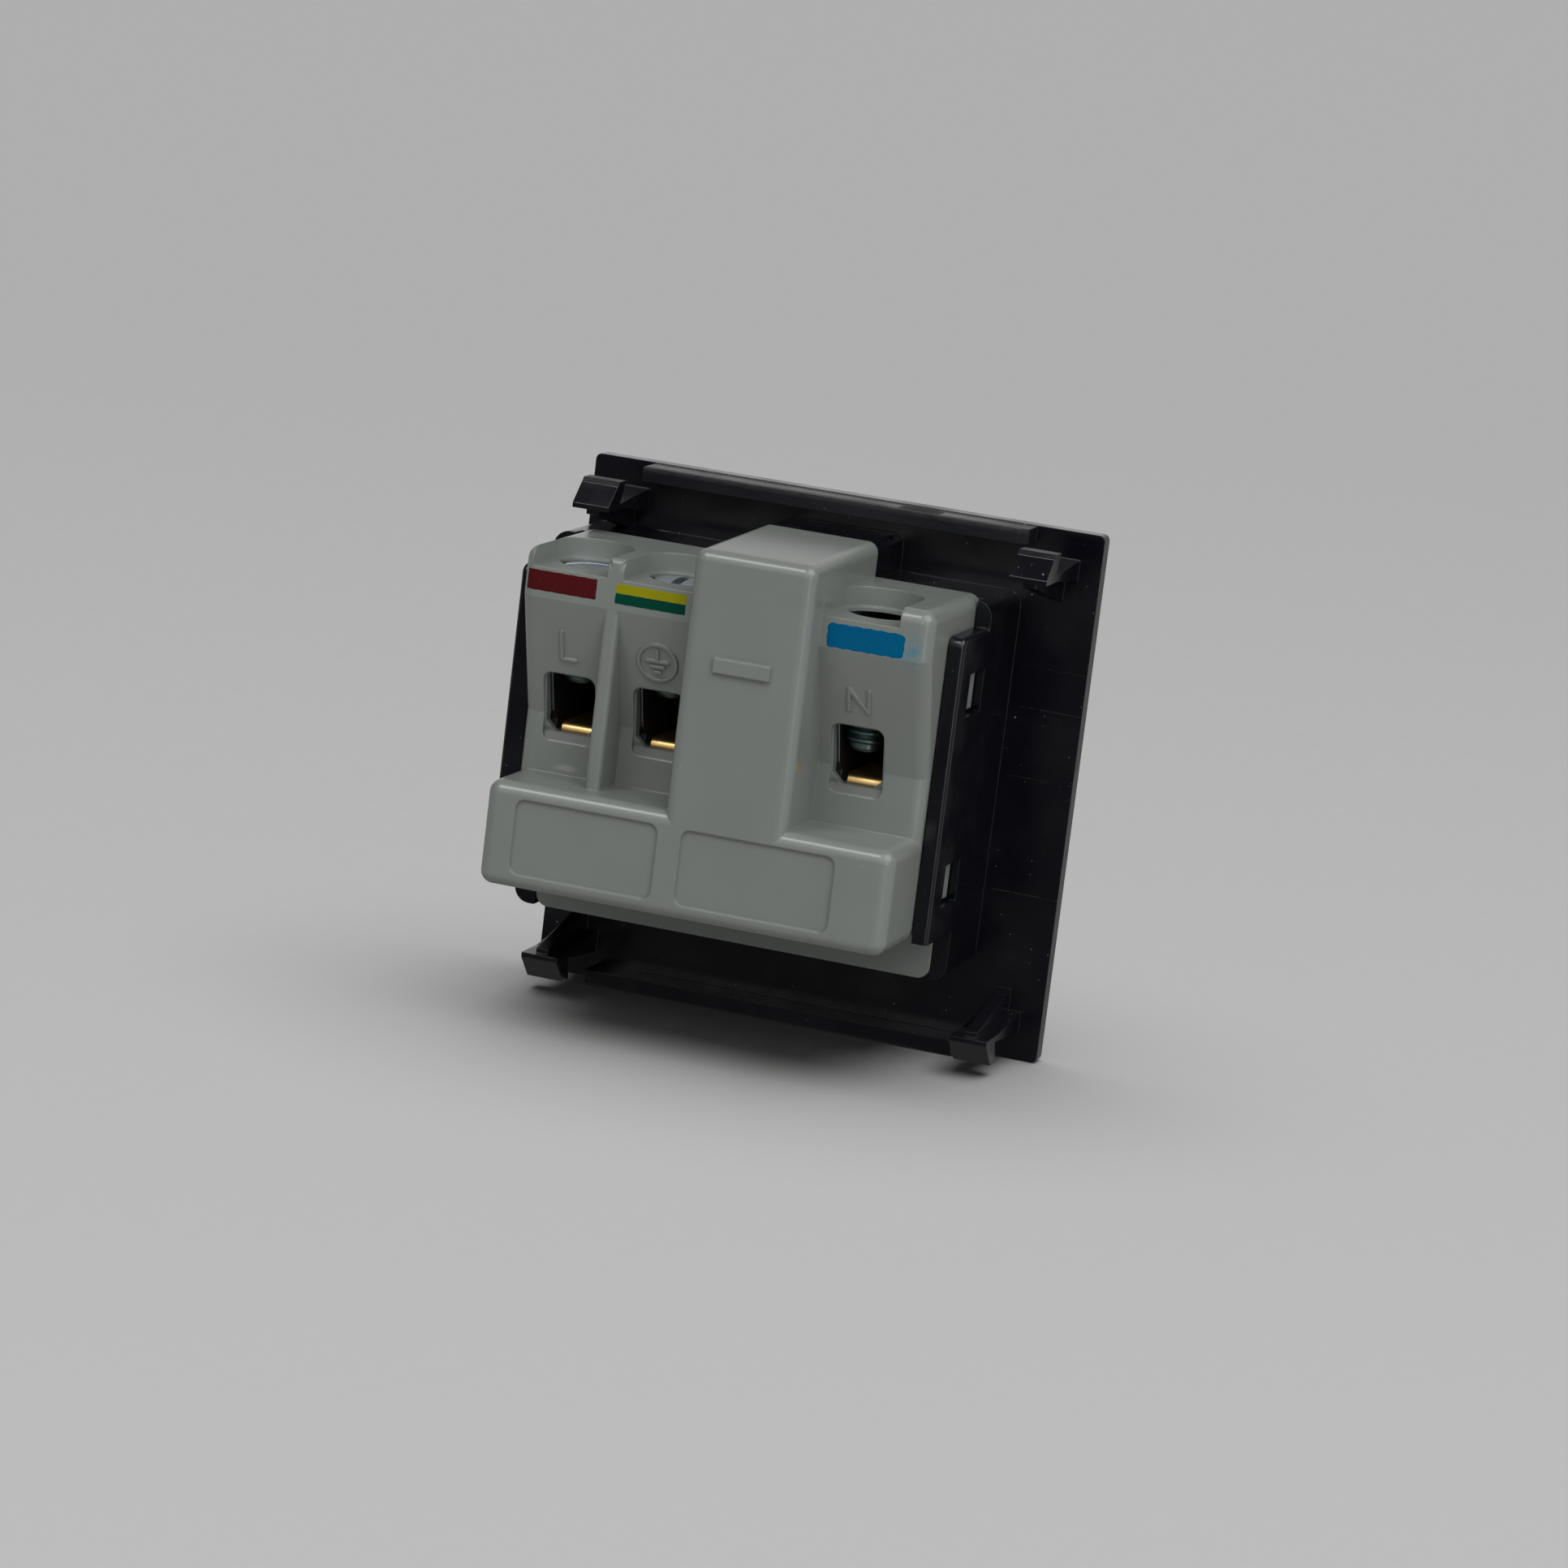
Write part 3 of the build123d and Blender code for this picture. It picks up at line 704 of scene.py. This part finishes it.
# The sills under the three wire entries carry painted shade.
GREY = SatinPlastic(
    "grey_satin_plastic", (0.185, 0.202, 0.188), 0.24,
    stains=(Stain((0.22, 0.16, 0.05), (-5.95, 25.9, 3.5), (0.6, 1.1, 0.9), 0.8),
            Stain((0.06, 0.2, 0.27), (-14.7, 24.8, 15.2), (1.5, 1.4, 2.4), 0.75),
            Stain((0.32, 0.34, 0.33), (0.5, 11.7, 21.9), (0.9, 0.6, 0.4), 0.8),
            Stain((0.4, 0.42, 0.41), (17.9, 20.5, -1.6), (1.8, 0.5, 0.5), 0.5)),
    sills=((18.05, 20.2, 1.1), (9.3, 20.2, 1.1), (-9.7, 20.2, 1.1)))
# The upper lip's crest carries a painted highlight.
BLACK = GlossPlastic("black_gloss_plastic", (0.0026, 0.0028, 0.0055), 0.16)
TORN = MattPlastic("torn_black_plastic", (0.012, 0.012, 0.013), 0.6)
SHUTTER = MattPlastic("shutter_matt_plastic", (0.02, 0.02, 0.021), 0.5)
BRASS = RolledMetal(
    "pressed_brass", (0.79, 0.53, 0.2), 0.33, 1.0, tint=(0.83, 0.6, 0.27), tarnish=(0.42, 0.25, 0.09))
# The screws' lower ends, down in the wire entries, are darkened with painted shade.
ZINC = RolledMetal(
    "zinc_plate", (0.6, 0.64, 0.68), 0.38, 1.0, tint=(0.52, 0.62, 0.7), tarnish=(0.3, 0.31, 0.33),
    lines=Grain((0.06 * MM, 0.06 * MM, 0.6 * MM), 3.0), end_shade=(0.17, 0.24, 0.235))
CAGE = RolledMetal(
    "dull_zinc_plate", (0.42, 0.43, 0.44), 0.34, 1.0, tint=(0.5, 0.51, 0.52),
    tarnish=(0.08, 0.08, 0.085), lines=Grain((0.06 * MM, 0.5 * MM, 0.06 * MM), 3.0))
WIRE = RolledMetal(
    "spring_wire", (0.5, 0.5, 0.51), 0.3, 1.0, tint=(0.58, 0.57, 0.55), tarnish=(0.2, 0.19, 0.18),
    lines=Grain((0.4 * MM, 0.4 * MM, 0.06 * MM), 3.0))
RED_INK = Ink("red_ink", (0.066, 0.0068, 0.0084), 0.42)
YELLOW_INK = Ink("yellow_ink", (0.25, 0.235, 0.006), 0.42)
GREEN_INK = Ink("green_ink", (0.0014, 0.046, 0.029), 0.42)
BLUE_INK = Ink("blue_ink", (0.0006, 0.09, 0.2), 0.42)
FLOOR = Paper("floor_paper", (0.62, 0.608, 0.608), 0.85)


def square_grid(rows: int, columns: int) -> tuple[np.ndarray, np.ndarray]:
    """Two parameters that each run from -1 to 1 over a grid of points."""
    first, second = np.linspace(-1, 1, rows), np.linspace(-1, 1, columns)
    return tuple(np.meshgrid(first, second, indexing="ij"))


def grid_faces(rows: int, columns: int, closed: bool = False) -> np.ndarray:
    """Quads of a grid of points.

    Args:
        rows: number of points along the first parameter.
        columns: number of points along the second parameter.
        closed: whether the second parameter runs round to its start.

    Returns:
        Four point numbers for each quad.
    """
    across = columns if closed else columns - 1
    row, column = np.meshgrid(np.arange(rows - 1), np.arange(across), indexing="ij")
    after = (column + 1) % columns
    here, there = row * columns, (row + 1) * columns
    corners = [here + column, here + after, there + after, there + column]
    return np.stack(corners, axis=-1).reshape(-1, len(corners))


def mesh_piece(name: str, points: np.ndarray, quads: np.ndarray, finish: Finish, body: Body
               ) -> bpy.types.Object:
    """Makes one finished piece with its place in its mesh.

    Args:
        name: the piece's name.
        points: its points in metres, three numbers each.
        quads: its faces.
        finish: what its surface is like.
        body: the body that it rides on.

    Returns:
        The object.
    """
    mesh = bpy.data.meshes.new(name)
    mesh.vertices.add(len(points))
    mesh.vertices.foreach_set("co", np.ascontiguousarray(points, np.float32).ravel())
    mesh.loops.add(quads.size)
    mesh.loops.foreach_set("vertex_index", np.ascontiguousarray(quads, np.int32).ravel())
    mesh.polygons.add(len(quads))
    mesh.polygons.foreach_set("loop_start", np.arange(0, quads.size, quads.shape[1], dtype=np.int32))
    mesh.polygons.foreach_set("use_smooth", np.ones(len(quads), bool))
    mesh.update(calc_edges=True)
    mesh.validate()
    mesh.materials.append(finish.material())
    made = bpy.data.objects.new(name, mesh)
    bpy.context.scene.collection.objects.link(made)
    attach(made, body.value)
    log.info("piece %s: %d points on %s", name, len(points), body.value)
    return made


def dress_node(name: str, material: bpy.types.Material) -> None:
    """Gives a CAD node its material.

    Args:
        name: the node's name.
        material: what each of its slots takes.
    """
    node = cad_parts[name]
    if not node.material_slots:
        node.data.materials.append(material)
    for place in node.material_slots:
        place.material = material
    log.info("node %s: %s", name, material.name)


def rounded_patch(half: Range, radius: float, count: tuple[int, int]
                  ) -> tuple[np.ndarray, np.ndarray, np.ndarray]:
    """Rounded rectangle as a grid of points.

    Both parameters run evenly across a plain rectangle. In each corner square the two offsets a and b
    from the square's inner corner become a*sqrt(1 - b*b/2) and b*sqrt(1 - a*a/2), which bends the square
    into a quarter disc.

    Args:
        half: half width and half height.
        radius: corner radius.
        count: number of points along each side.

    Returns:
        The two coordinates of each point, and how far in from the border it lies, from zero to one.
    """
    s, t = square_grid(*count)
    u, v = s * half[0], t * half[1]
    a = np.clip((np.abs(u) - (half[0] - radius)) / radius, 0, 1)
    b = np.clip((np.abs(v) - (half[1] - radius)) / radius, 0, 1)
    corner = (a > 0) & (b > 0)
    bent_u = half[0] - radius + radius * a * np.sqrt(1 - b * b / 2)
    bent_v = half[1] - radius + radius * b * np.sqrt(1 - a * a / 2)
    u = np.where(corner, np.sign(u) * bent_u, u)
    v = np.where(corner, np.sign(v) * bent_v, v)
    return u, v, 1 - np.maximum(np.abs(s), np.abs(t))


def tube_points(path: np.ndarray, radius: float, sides: int) -> np.ndarray:
    """Round tube along a path.

    At each point of the path a circle lies across the path's direction, in the plane of the horizontal
    outward direction and its cross product with the path.

    Args:
        path: the path's points, three numbers each.
        radius: the tube's radius.
        sides: points round the tube.

    Returns:
        The tube's points, ring by ring.
    """
    along = np.gradient(path, axis=0)
    along /= np.linalg.norm(along, axis=1, keepdims=True)
    outward = np.cross(along, np.array([0.0, 0.0, 1.0]))
    outward /= np.linalg.norm(outward, axis=1, keepdims=True)
    upward = np.cross(outward, along)
    angle = np.linspace(0, 2 * np.pi, sides, endpoint=False)[None, :, None]
    ring = np.cos(angle) * outward[:, None, :] + np.sin(angle) * upward[:, None, :]
    return (path[:, None, :] + radius * ring).reshape(-1, 3)


@dataclass(frozen=True)
class Wave:
    """A sine wave along a border: radians per millimetre, height, and how often it takes the phase."""

    rate: float
    height: float
    phases: float = 0.0


@dataclass
class InkBand:
    """A coloured band printed on the flat top of a terminal's rear face, in millimetres."""

    name: str
    ink: Ink
    x: Range
    z: Range
    corner: float = 0.12
    ragged: float = 0.012
    phase: float = 0.0
    long_waves: tuple[Wave, ...] = (Wave(5.3, 1.0, 1.0), Wave(13.7, 0.6, 2.0), Wave(29.0, 0.4))
    long_power: int = 4
    end_waves: tuple[Wave, ...] = (Wave(7.1, 1.0, 1.0), Wave(17.0, 0.6))
    end_power: int = 8
    face_y: float = 24.75
    edge_x: float = 21.4
    edge_r: float = 1.2
    film: float = 0.02
    border: float = 0.001
    grid: tuple[int, int] = (121, 41)

    def wander(self, along: np.ndarray, waves: tuple[Wave, ...]) -> np.ndarray:
        """Sum of the waves along a border."""
        return sum(w.height * np.sin(along * w.rate + w.phases * self.phase) for w in waves)

    def surface(self) -> np.ndarray:
        """Points of the band.

        A rounded rectangle in x and z lies on the face. Waves move its border and fade towards its middle
        with a power of the distance. Its depth is the face's own, which falls along a quarter circle past
        the housing's rounded side, plus the film's thickness, and the border sinks just under the face.

        Returns:
            The points in metres.
        """
        half = ((self.x[1] - self.x[0]) / 2, (self.z[1] - self.z[0]) / 2)
        u, v, inside = rounded_patch(half, self.corner, self.grid)
        end = self.wander(v, self.end_waves) * (np.abs(u) / half[0]) ** self.end_power * np.sign(u)
        long = self.wander(u, self.long_waves) * (np.abs(v) / half[1]) ** self.long_power * np.sign(v)
        x = u + self.ragged * end + sum(self.x) / 2
        z = v + self.ragged * long + sum(self.z) / 2
        past = np.clip(x - self.edge_x, 0, self.edge_r)
        face = self.face_y - (self.edge_r - np.sqrt(self.edge_r ** 2 - past ** 2))
        y = face + np.where(inside > self.border, self.film, -self.film)
        return np.stack([x, y, z], axis=-1).reshape(-1, 3) * MM

    def build(self) -> bpy.types.Object:
        """Makes the band."""
        quads = grid_faces(*self.grid)
        return mesh_piece(self.name, self.surface(), quads, self.ink, Body.MAIN)


@dataclass
class GreyHousing:
    """The rear housing with its printed bands."""

    bands: list[InkBand] = field(default_factory=lambda: [
        InkBand("live_band", RED_INK, (15.4, 22.2), (15.0, 16.9), phase=0.4),
        InkBand("earth_band_yellow", YELLOW_INK, (6.8, 13.6), (15.95, 16.85), phase=1.1),
        InkBand("earth_band_green", GREEN_INK, (6.8, 13.6), (15.0, 15.97), phase=2.0),
        InkBand("neutral_band", BLUE_INK, (-13.9, -6.6), (14.45, 16.7), corner=0.5, ragged=0.03,
                phase=3.1),
    ])

    def build(self) -> None:
        """Dresses the housing and prints its bands."""
        dress_node("rear_housing", GREY.material())
        for band in self.bands:
            band.build()


@dataclass
class TornGate:
    """Torn stub of the moulding's gate on the upper lip, in millimetres."""

    x: Range = (-10.4, -5.2)
    y: Range = (2.3, 5.45)
    top: float = 24.9
    height: float = 0.09
    core: float = 0.4
    ragged: float = 1.1
    sunk: float = 0.35
    seed: int = 7
    rows: int = 131
    columns: int = 61
    shifts: tuple[tuple[int, int], ...] = ((0, 0), (1, 0), (2, 0), (0, 1))

    def surface(self) -> np.ndarray:
        """Points of the stub.

        A grid over the lip's top carries a random height, the mean of a few shifted copies. The crown
        (1 - s**2)*(1 - t**4) makes it highest in the middle, where it is cut off level, and it sinks
        under the lip at its border.

        Returns:
            The points in metres.
        """
        s, t = square_grid(self.rows, self.columns)
        rough = np.random.default_rng(self.seed).random((self.rows, self.columns))
        rough = sum(np.roll(rough, shift, (0, 1)) for shift in self.shifts) / len(self.shifts)
        crown = (1 - s ** 2) * (1 - t ** 4)
        x = self.x[0] + (s + 1) / 2 * (self.x[1] - self.x[0])
        y = self.y[0] + (t + 1) / 2 * (self.y[1] - self.y[0])
        z = self.top + self.height * (crown * (self.core + self.ragged * rough) - self.sunk)
        z = np.minimum(z, self.top + self.height)
        return np.stack([x, y, z], axis=-1).reshape(-1, 3) * MM

    def build(self) -> bpy.types.Object:
        """Makes the stub."""
        quads = grid_faces(self.rows, self.columns)
        return mesh_piece("torn_gate", self.surface(), quads, TORN, Body.MAIN)


@dataclass
class BlackFront:
    """The front moulding with the torn stub of its gate."""

    gate: TornGate = field(default_factory=TornGate)

    def build(self) -> None:
        """Dresses the moulding and adds the stub."""
        dress_node("front_moulding", BLACK.material())
        self.gate.build()


@dataclass
class ShutterSpring:
    """Coil spring under the shutter, with closed end turns, in millimetres."""

    centre: Range = (0.0, 4.3)
    low: float = -15.4
    high: float = -5.9
    radius: float = 1.25
    wire: float = 0.2
    turns: float = 8.5
    travel: float = 5.0
    steps: int = 721
    sides: int = 14

    def path(self) -> np.ndarray:
        """Centreline of the wire.

        It turns evenly. Its height rises by one thickness of the wire over the first and the last turn,
        so that they lie closed, and evenly between them.

        Returns:
            The points in metres.
        """
        thick = 2 * self.wire
        turn = np.linspace(0, 1, self.steps) * self.turns
        inner = np.clip((turn - 1) / (self.turns - 2), 0, 1)
        closed = (np.clip(turn, 0, 1) + np.clip(turn - self.turns + 1, 0, 1)) * thick
        span = self.high - self.low - thick
        z = self.low + self.wire + closed + inner * (span - 2 * thick)
        angle = 2 * np.pi * turn
        x = self.centre[0] + self.radius * np.cos(angle)
        y = self.centre[1] + self.radius * np.sin(angle)
        return np.stack([x, y, z], axis=-1) * MM

    def build(self) -> bpy.types.Object:
        """Makes the spring and hides the CAD spring that it stands in for.

        Returns:
            The object.
        """
        points = tube_points(self.path(), self.wire * MM, self.sides)
        quads = grid_faces(self.steps, self.sides, closed=True)
        made = mesh_piece("coil_spring", points, quads, WIRE, Body.MAIN)
        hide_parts("shutter_spring")
        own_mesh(made)
        return made


@dataclass
class ShutterUnit:
    """The sliding shutter and its spring."""

    spring: ShutterSpring = field(default_factory=ShutterSpring)

    def build(self) -> None:
        """Dresses the shutter and makes the spring."""
        dress_node("shutter", SHUTTER.material())
        self.spring.build()


@dataclass
class Terminals:
    """The three brass contacts with their plated tunnels and screws."""

    poles: tuple[str, ...] = ("live", "neutral", "earth")

    def build(self) -> None:
        """Dresses the contacts, the tunnels and the screws."""
        brass = BRASS.material()
        cage = CAGE.material()
        zinc = ZINC.material()
        for pole in self.poles:
            dress_node(f"{pole}_contact", brass)
            dress_node(f"{pole}_terminal", cage)
            dress_node(f"{pole}_screw", zinc)


class Reach(str, Enum):
    """What a lamp lights: the floor alone, or all but the floor."""

    FLOOR = "INCLUDE"
    OBJECT = "EXCLUDE"


@dataclass(frozen=True)
class Lamp:
    """A soft light from far away: where it stands and how wide it is, in degrees, and its strength."""

    name: str
    turn: float
    lift: float
    strength: float
    width: float = 60.0
    reach: Reach = Reach.OBJECT

    def build(self, floor: bpy.types.Object) -> None:
        """Makes the light.

        Args:
            floor: the floor, which the light is kept on or kept off.
        """
        data = bpy.data.lights.new(self.name, "SUN")
        data.energy = self.strength
        data.angle = math.radians(self.width)
        made = bpy.data.objects.new(self.name, data)
        made.rotation_euler = (math.radians(90.0 - self.lift), 0.0, math.radians(self.turn + 90.0))
        bpy.context.scene.collection.objects.link(made)
        group = bpy.data.collections.new(f"{self.name}_reach")
        group.objects.link(floor)
        group.collection_objects[0].light_linking.link_state = self.reach.value
        made.light_linking.receiver_collection = group


@dataclass
class Studio:
    """Floor, light and camera.

    The object is lit by a dark room above a pale ground. The ground rises towards the front, is darker
    straight underneath, and up is the direction away from it. The camera's place is in millimetres.
    """

    floor_z: float = -25.0 * MM
    floor_half: float = 6.0
    floor_points: int = 9
    up: Point = (0.0, 0.355, 0.935)
    sky: float = 0.08
    ground: float = 0.34
    horizon: Range = (0.0, -0.12)
    underneath: Range = (-0.25, -0.8)
    underneath_shade: float = 0.65
    backdrop: Colour = (0.43, 0.43, 0.43)
    lamps: tuple[Lamp, ...] = (
        Lamp("key", 150.0, 49.0, 2.15),
        Lamp("side", 58.0, 52.0, 0.75, 20.0),
        Lamp("window", 137.0, 0.0, 0.4, 24.0),
        Lamp("front", 90.0, 28.0, 0.55, 50.0),
        Lamp("back", 295.0, 22.0, 0.25),
        Lamp("overhead", 0.0, 90.0, 2.5, 80.0, Reach.FLOOR),
    )
    lens: float = 124.3
    sensor: float = 36.0
    clip: Range = (0.01, 50.0)
    place: Point = (-145.285, 478.959, 93.303)
    right: Point = (-0.94116085, -0.31616989, 0.11938533)
    upward: Point = (0.1718848, -0.14365675, 0.97458625)
    back: Point = (-0.29098431, 0.93776295, 0.1895489)

    def floor(self) -> bpy.types.Object:
        """Lays the floor, a flat grid under the plate's lower edge.

        Returns:
            The floor, which shiny surfaces don't mirror.
        """
        count = self.floor_points
        s, t = square_grid(count, count)
        level = np.full_like(s, self.floor_z)
        points = np.stack([s * self.floor_half, t * self.floor_half, level], axis=-1)
        mesh = bpy.data.meshes.new("floor")
        mesh.from_pydata(points.reshape(-1, 3).tolist(), [], grid_faces(count, count).tolist())
        mesh.materials.append(FLOOR.material())
        made = bpy.data.objects.new("floor", mesh)
        made.visible_glossy = False
        bpy.context.scene.collection.objects.link(made)
        return made

    def light(self, floor: bpy.types.Object) -> None:
        """Makes the dim light from all round, which the camera sees as a plain backdrop, and the lamps.

        Args:
            floor: the floor, which each lamp is kept on or kept off.
        """
        world = bpy.data.worlds.new("studio")
        world.use_nodes = True
        bpy.context.scene.world = world
        graph = Graph(world.node_tree)
        way = graph.node("ShaderNodeTexCoord", {}, {}).outputs["Generated"]
        lift = graph.node("ShaderNodeVectorMath", {"operation": "DOT_PRODUCT"}, {0: way, 1: self.up})
        height = Sock(graph, lift.outputs["Value"])
        shaded = height.smooth(*self.underneath) * self.underneath_shade
        low = height.smooth(*self.horizon) * (1.0 - shaded)
        around = graph.mix(low, (self.sky,) * 3, (self.ground,) * 3)
        seen = Sock(graph, graph.node("ShaderNodeLightPath", {}, {}).outputs["Is Camera Ray"])
        colour = graph.mix(seen, around, self.backdrop)
        shine = graph.node("ShaderNodeBackground", {}, {"Color": colour, "Strength": 1.0})
        graph.node("ShaderNodeOutputWorld", {}, {"Surface": shine.outputs[0]})
        for lamp in self.lamps:
            lamp.build(floor)

    def camera(self) -> None:
        """Sets the camera where the photograph was taken from."""
        data = bpy.data.cameras.new("camera")
        data.sensor_width = self.sensor
        data.lens = self.lens
        data.clip_start, data.clip_end = self.clip
        made = bpy.data.objects.new("camera", data)
        axes = Matrix((self.right, self.upward, self.back)).transposed().to_4x4()
        made.matrix_world = Matrix.Translation(Vector(self.place) * MM) @ axes
        bpy.context.scene.collection.objects.link(made)
        bpy.context.scene.camera = made

    def build(self) -> None:
        """Makes the studio."""
        self.light(self.floor())
        self.camera()
        bpy.context.scene.view_settings.view_transform = "Standard"


def main() -> None:
    """Builds the scene in order."""
    Studio().build()
    for group in (BlackFront(), GreyHousing(), ShutterUnit(), Terminals()):
        group.build()


if __name__ == "__main__":
    main()
